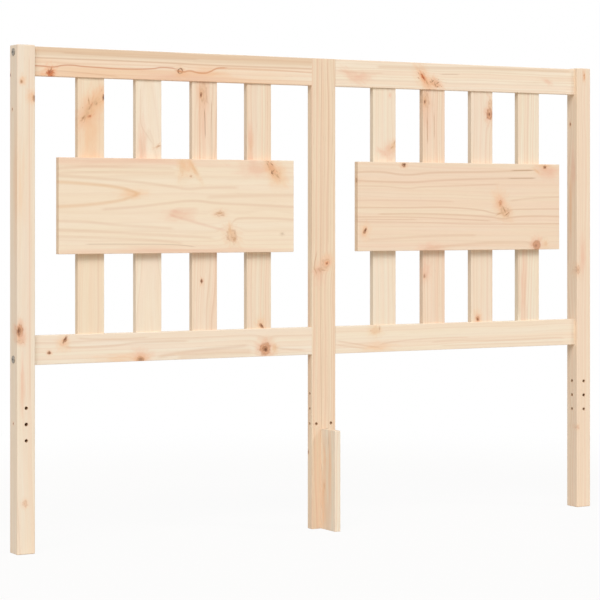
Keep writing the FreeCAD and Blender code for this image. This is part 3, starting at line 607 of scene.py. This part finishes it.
# Sums made one from another, as name, operation and parts. Down is the way below the top of the
# head, and the outline is the radius there
sums = {**dict(into.items()), **dict(add(turned, "SeparateXYZ", {0: point}).outputs.items())}
for name, operation, *parts in (
        ("Steps", "DIVIDE", "Length", "Step"),
        ("Half Length", "MULTIPLY", "Length", 0.5),
        ("Down", "SUBTRACT", "Half Length", "Z"),
        ("Angle", "ARCTAN2", "Y", "X"),
        ("Winds", "DIVIDE", "Angle", math.tau),
        ("Starts", "MULTIPLY", "Winds", "Thread Starts"),
        ("Pitches", "DIVIDE", "Down", "Thread Pitch"),
        ("Phase", "ADD", "Starts", "Pitches"),
        ("Ridge", "PINGPONG", "Phase", 0.5),
        ("Groove", "MULTIPLY", "Ridge", "Thread Depth"),
        ("Threaded", "GREATER_THAN", "Down", "Thread Start"),
        ("Groove Here", "MULTIPLY", "Groove", "Threaded"),
        ("Groove Full", "MULTIPLY", "Groove Here", 2),
        ("Shank", "SUBTRACT", "Shank Radius", "Groove Full"),
        ("Bevel Top", "SUBTRACT", "Head Radius", "Head Bevel"),
        ("Bevel", "ADD", "Bevel Top", "Down"),
        ("Narrowing", "MULTIPLY", "Down", "Head Taper"),
        ("Taper", "SUBTRACT", "Head Radius", "Narrowing"),
        ("Head", "MINIMUM", "Bevel", "Taper"),
        ("In Head", "LESS_THAN", "Down", "Head Height"),
        ("Below Head", "SUBTRACT", 1, "In Head"),
        ("Head Part", "MULTIPLY", "In Head", "Head"),
        ("Body", "MULTIPLY_ADD", "Below Head", "Shank", "Head Part"),
        ("To Tip", "SUBTRACT", "Length", "Down"),
        ("Tip", "MULTIPLY_ADD", "To Tip", "Tip Slope", "Tip Radius"),
        ("Outline", "MINIMUM", "Body", "Tip"),
        ("Widening", "DIVIDE", "Outline", "Shank Radius"),
        ("Socket Height", "MULTIPLY", "Socket Depth", 2),
        ("Corner Radius", "DIVIDE", "Socket Width", math.sqrt(3)),
        ("Wing Width", "DIVIDE", "Socket Width", 4.5)):
    sums[name] = add(turned, "Math " + operation,
                     {place: sums.get(part, part) for place, part in enumerate(parts)})
blank = add(turned, "GeometryNodeMeshCylinder", {
    "Vertices": into["Sides"], "Side Segments": sums["Steps"], "Radius": into["Shank Radius"],
    "Depth": into["Length"]})
widened = add(turned, "CombineXYZ", {"X": sums["Widening"], "Y": sums["Widening"], "Z": 1})
shaped = add(turned, "VectorMath MULTIPLY", {0: point, 1: widened})
body = add(turned, "GeometryNodeSetPosition", {"Geometry": blank, "Position": shaped})
head_top = add(turned, "CombineXYZ", {"Z": sums["Half Length"]})
hexagon = add(turned, "GeometryNodeMeshCylinder", {
    "Vertices": 6, "Radius": sums["Corner Radius"], "Depth": sums["Socket Height"]})
wings = []
for wide, deep in (("X", "Y"), ("Y", "X")):
    wing_size = add(turned, "CombineXYZ", {
        wide: into["Socket Width"], deep: sums["Wing Width"], "Z": sums["Socket Height"]})
    wings.append(add(turned, "GeometryNodeMeshCube", {"Size": wing_size}))
headed = body
for switch, cutters in (("Hexagon Socket", [hexagon]), ("Cross Socket", wings)):
    cut = add(turned, "GeometryNodeMeshBoolean DIFFERENCE", {"solver": "EXACT", "Mesh 1": body})
    for cutter in cutters:
        there = add(turned, "GeometryNodeTransform", {"Geometry": cutter, "Translation": head_top})
        turned.links.new(there.outputs[0], cut.inputs["Mesh 2"])
    headed = add(turned, "GeometryNodeSwitch GEOMETRY", {
        "Switch": into[switch], "False": headed, "True": cut})
drop = add(turned, "VectorMath SCALE", {0: head_top, "Scale": -1})
hung = add(turned, "GeometryNodeTransform", {"Geometry": headed, "Translation": drop})
turning = add(turned, "FunctionNodeEulerToRotation", {0: into["Turn"]})
placed = add(turned, "GeometryNodeInstanceOnPoints", {
    "Points": into["Places"], "Instance": hung, "Rotation": turning})
real = add(turned, "GeometryNodeRealizeInstances", {0: placed})
finished = add(turned, "GeometryNodeSetMaterial", {"Geometry": real, "Material": into["Finish"]})
add(turned, "NodeGroupOutput", {"Fittings": finished})


sharp_angle = 32                # degrees, between faces that meet in an edge


def fittings(node, places, turn, finish, sizes, sides=24, socket=""):
    """Makes the turned pieces that stand for one CAD node. Places and sizes are in mm, and the turn in
    degrees takes a fitting from upright, head up, to its own direction."""
    points = bpy.data.meshes.new(node + "_places")
    points.from_pydata([[part * MM for part in place] for place in places], [], [])
    maker = bpy.data.objects.new(node + "_maker", points)
    bpy.context.scene.collection.objects.link(maker)
    tree_user = maker.modifiers.new("turned", "NODES")
    tree_user.node_group = turned
    inputs = {name: value * MM for name, value in sizes.items()}
    for unitless in ("Head Taper", "Tip Slope", "Thread Starts"):
        inputs[unitless] = float(sizes[unitless])
    inputs.update({"Sides": sides, "Turn": [math.radians(part) for part in turn], "Finish": finish})
    for item in turned.interface.items_tree:
        if item.name in inputs:
            tree_user[item.identifier] = inputs[item.name]
        elif "Socket" in item.name:
            tree_user[item.identifier] = item.name == socket
    made = bpy.data.meshes.new_from_object(maker.evaluated_get(bpy.context.evaluated_depsgraph_get()))
    bpy.data.objects.remove(maker)
    made.shade_smooth()
    made.set_sharp_from_angle(angle=math.radians(sharp_angle))
    piece = bpy.data.objects.new(node + "_turned", made)
    bpy.context.scene.collection.objects.link(piece)
    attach(piece, "root")
    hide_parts(node)


# Zinc plating on steel: a warm grey metal, slightly mottled where the plating has dulled,
# with fine marks from turning that spread its reflections.
mottle_size = 2.5               # mm
mark_size = 0.3                 # mm
mark_depth = 0.03               # mm
zinc = bpy.data.materials.new("zinc_plated_steel")
tree = cleared(zinc)
place = add(tree, "TexCoord", {}).outputs["Object"]
mottle_place = add(tree, "VectorMath SCALE", {0: place, "Scale": 1 / (mottle_size * MM)})
mottle = add(tree, "TexNoise", {"Vector": mottle_place, "Scale": 1, "Detail": 3, "Roughness": 0.6})
mottled = add(tree, "Mix RGBA", {0: mottle, 6: srgb("847C71"), 7: srgb("AEA598")}).outputs[2]
dulled = add(tree, "MapRange", {"Value": mottle, "To Min": 0.34, "To Max": 0.5})
mark_place = add(tree, "VectorMath SCALE", {0: place, "Scale": 1 / (mark_size * MM)})
marks = add(tree, "TexNoise", {"Vector": mark_place, "Scale": 1, "Detail": 1})
mark_bump = add(tree, "Bump", {"Height": marks, "Strength": 0.15, "Distance": mark_depth * MM})
surface = add(tree, "BsdfPrincipled", {
    "Base Color": mottled, "Metallic": 1, "Roughness": dulled, "Normal": mark_bump})
add(tree, "OutputMaterial", {"Surface": surface})

bolt_heights = (986, 382)
post_outer = 703
bolt_reach = 78                 # from the outer face of the post to the end of the bolt
bolt_head_height = 1.5
head_edge = 0.01                # mm, so that the foot of a head still counts as head
bolt_sizes = {"Length": bolt_reach + bolt_head_height, "Step": 0.15, "Shank Radius": 3, "Head Radius": 7.5,
              "Head Height": bolt_head_height + head_edge, "Head Bevel": 0.5, "Head Taper": 0,
              "Tip Radius": 2.2, "Tip Slope": 1, "Thread Start": 50, "Thread Pitch": 1, "Thread Depth": 0.5,
              "Thread Starts": 1, "Socket Width": 4, "Socket Depth": 3}
for name, side in (("left", -1), ("right", 1)):
    bolt_places = [(side * (post_outer + bolt_head_height), rail_middle, height) for height in bolt_heights]
    fittings("post_bolts_" + name, bolt_places, (0, side * 90, 0), zinc, bolt_sizes,
             socket="Hexagon Socket")

# Studs. Two lengths of M6 zinc-plated threaded rod through the centre post, which pull the rails
# of both halves against its edges.
stud_length = 138
stud_sizes = {**bolt_sizes, "Length": stud_length, "Step": 0.25, "Head Radius": 3, "Head Height": 1,
              "Head Bevel": 0.8, "Thread Start": 0}
stud_places = [(stud_length / 2, rail_middle, height) for height in bolt_heights]
fittings("centre_studs", stud_places, (0, 90, 0), zinc, stud_sizes)

# Barrel nuts. Eight zinc-plated steel cylinders, cross-drilled and tapped for the bolts, pushed
# into the backs of the rails, with a slot that shows how the thread lies.
for name in ("post_barrel_nuts", "centre_barrel_nuts"):
    nodes[name].data.materials.clear()
    nodes[name].data.materials.append(zinc)

# Board screws. Zinc-plated countersunk wood screws, 4 x 20, driven through the slats from the
# back, two to a slat, so that none shows in front.
slat_back = 32
screw_sink = 0.3
slat_places = (155, 283, 411, 539)
board_screw_heights = (620, 748)
screw_sizes = {"Length": 20.2, "Step": 0.2, "Shank Radius": 2, "Head Radius": 4, "Head Height": 2.4,
               "Head Bevel": 0.15, "Head Taper": 2 / 2.4, "Tip Radius": 0.12, "Tip Slope": 0.66,
               "Thread Start": 4.5, "Thread Pitch": 1.8, "Thread Depth": 0.65, "Thread Starts": 1,
               "Socket Width": 4.2, "Socket Depth": 1.5}
for name, side in (("left", -1), ("right", 1)):
    screw_places = [(side * place, slat_back - screw_sink, height)
                    for place in slat_places for height in board_screw_heights]
    fittings("board_screws_" + name, screw_places, (-90, 0, 0), zinc, screw_sizes,
             socket="Cross Socket")

# Block screws. Three longer screws of the same kind, 4 x 50, from the back through the centre
# post into the edge of the foot block.
rail_back = 33
block_screw_heights = (32, 106, 180)
block_screw_sizes = {**screw_sizes, "Length": 49.7, "Thread Start": 16}
block_screw_places = [(0, rail_back - screw_sink, height) for height in block_screw_heights]
fittings("foot_block_screws", block_screw_places, (-90, 0, 0), zinc, block_screw_sizes,
         socket="Cross Socket")

# Dowels. Fluted beech pegs, 8 x 35, glued into the posts and pushed into the rails beside the
# bolts, so that a rail can't turn. Flutes let the air out of the hole.

# Turned beech: an even pinkish tan with the short dark flecks of its rays, about 2 mm long.
ray_size = (2.2, 0.5, 0.5)      # mm along the dowel and across it
beech = bpy.data.materials.new("turned_beech")
tree = cleared(beech)
place = add(tree, "TexCoord", {}).outputs["Object"]
ray_place = add(tree, "VectorMath DIVIDE", {0: place, 1: [part * MM for part in ray_size]})
ray_noise = add(tree, "TexNoise", {"Vector": ray_place, "Scale": 1, "Detail": 1})
rays = add(tree, "MapRange", {"Value": ray_noise, "From Min": 0.56, "From Max": 0.68, "To Max": 0.5})
rayed = add(tree, "Mix RGBA", {0: rays, 6: srgb("DDB98F"), 7: srgb("A97C55")}).outputs[2]
surface = add(tree, "BsdfPrincipled", {"Base Color": rayed, "Roughness": 0.58})
add(tree, "OutputMaterial", {"Surface": surface})

dowel_heights = (954, 414)
dowel_post_bite = 12
dowel_length = 35
centre_edge = 29
flutes = 24
dowel_sizes = {"Length": dowel_length, "Step": 0.5, "Shank Radius": 4, "Head Radius": 4, "Head Height": 1.5,
               "Head Bevel": 1, "Head Taper": 0, "Tip Radius": 3, "Tip Slope": 1, "Thread Start": 1.5,
               "Thread Pitch": 5000, "Thread Depth": 0.35, "Thread Starts": flutes, "Socket Width": 1,
               "Socket Depth": 1}
for node, joint, way in (("post_dowels", post_inner, 1), ("centre_dowels", centre_edge, -1)):
    dowel_places = [(side * (joint + dowel_post_bite * way) + (dowel_length if side * way < 0 else 0),
                     rail_middle, height) for side in (-1, 1) for height in dowel_heights]
    fittings(node, dowel_places, (0, 90, 0), beech, dowel_sizes, sides=4 * flutes)

# Floor and studio. A matt floor that is seen white but throws back the light of a pale warm grey,
# and runs out to a white surround, so that only a faint shadow shows at the feet.


def seen_share(tree):
    """1 for light that the camera sees, straight, in a reflection or through glass, and 0 for other light."""
    path = add(tree, "LightPath", {}).outputs
    share = path["Is Camera Ray"]
    for ray in ("Is Glossy Ray", "Is Transmission Ray"):
        share = add(tree, "Math MAXIMUM", {0: share, 1: path[ray]})
    return share


floor_reach = 60                # m
shadow_ends = (1.0, 2.2)        # m, over which the shadow of the feet gives way to white
shadow_white = 0.94
corners = [(x * floor_reach, y * floor_reach, 0) for x, y in ((-1, -1), (1, -1), (1, 1), (-1, 1))]
floor_mesh = bpy.data.meshes.new("floor")
floor_mesh.from_pydata(corners, [], [(0, 1, 2, 3)])
floor = bpy.data.objects.new("floor", floor_mesh)
bpy.context.scene.collection.objects.link(floor)
floor_paint = bpy.data.materials.new("matt_floor_paint")
tree = cleared(floor_paint)
floor_place = add(tree, "TexCoord", {}).outputs["Object"]
from_middle = add(tree, "VectorMath LENGTH", {0: floor_place}).outputs["Value"]
whiteness = add(tree, "MapRange SMOOTHSTEP", {
    "Value": from_middle, "From Min": shadow_ends[0], "From Max": shadow_ends[1], "To Min": shadow_white})
white_share = add(tree, "Math MULTIPLY", {0: seen_share(tree), 1: whiteness})
matt = add(tree, "BsdfDiffuse", {"Color": srgb("D2C8BA")})
white = add(tree, "Emission", {"Color": srgb("FFFFFF"), "Strength": 1})
seen = add(tree, "MixShader", {0: white_share, 1: matt, 2: white})
add(tree, "OutputMaterial", {"Surface": seen})
floor_mesh.materials.append(floor_paint)

soft_light = 0.385
world = bpy.data.worlds.new("white_studio")
tree = cleared(world)
level = add(tree, "MapRange", {"Value": seen_share(tree), "To Min": soft_light})
sky = add(tree, "Background", {"Color": srgb("FFFFFF"), "Strength": level})
add(tree, "OutputWorld", {"Surface": sky})
bpy.context.scene.world = world

# Two lights in front and above: the main one large and soft from the left, and a weaker and
# smaller one from the right. A strength of pi would light a facing surface at its full colour.
for name, strength, spread, way in (("main_light", 1.92, 40, (-0.50, -0.582, 0.64)),
                                    ("second_light", 0.87, 16, (0.55, -0.55, 0.63))):
    light = bpy.data.lights.new(name, "SUN")
    light.energy = strength
    light.angle = math.radians(spread)
    lamp = bpy.data.objects.new(name, light)
    lamp.rotation_euler = Vector(way).to_track_quat("Z", "Y").to_euler()
    bpy.context.scene.collection.objects.link(lamp)

# Camera. It stands level, 0.67 m above the floor and 4.5 m away, and looks 30 degrees to the
# right of the headboard's front, with the lens shifted down to take in the feet.
frame_pixels = 600
focal_pixels = 2134.5
horizon_pixel = 214.35          # from the top of the frame
camera_place = (-2.316387, -3.884926, 0.666987)
camera_turn = -30.073           # degrees
camera = bpy.data.cameras.new("studio_camera")
camera.sensor_width = 36
camera.lens = camera.sensor_width * focal_pixels / frame_pixels
camera.shift_y = (horizon_pixel - frame_pixels / 2) / frame_pixels
camera.clip_end = floor_reach
camera_stand = bpy.data.objects.new("studio_camera", camera)
camera_stand.location = camera_place
camera_stand.rotation_euler = (math.radians(90), 0, math.radians(camera_turn))
bpy.context.scene.collection.objects.link(camera_stand)
bpy.context.scene.camera = camera_stand

bpy.context.scene.view_settings.view_transform = "Standard"
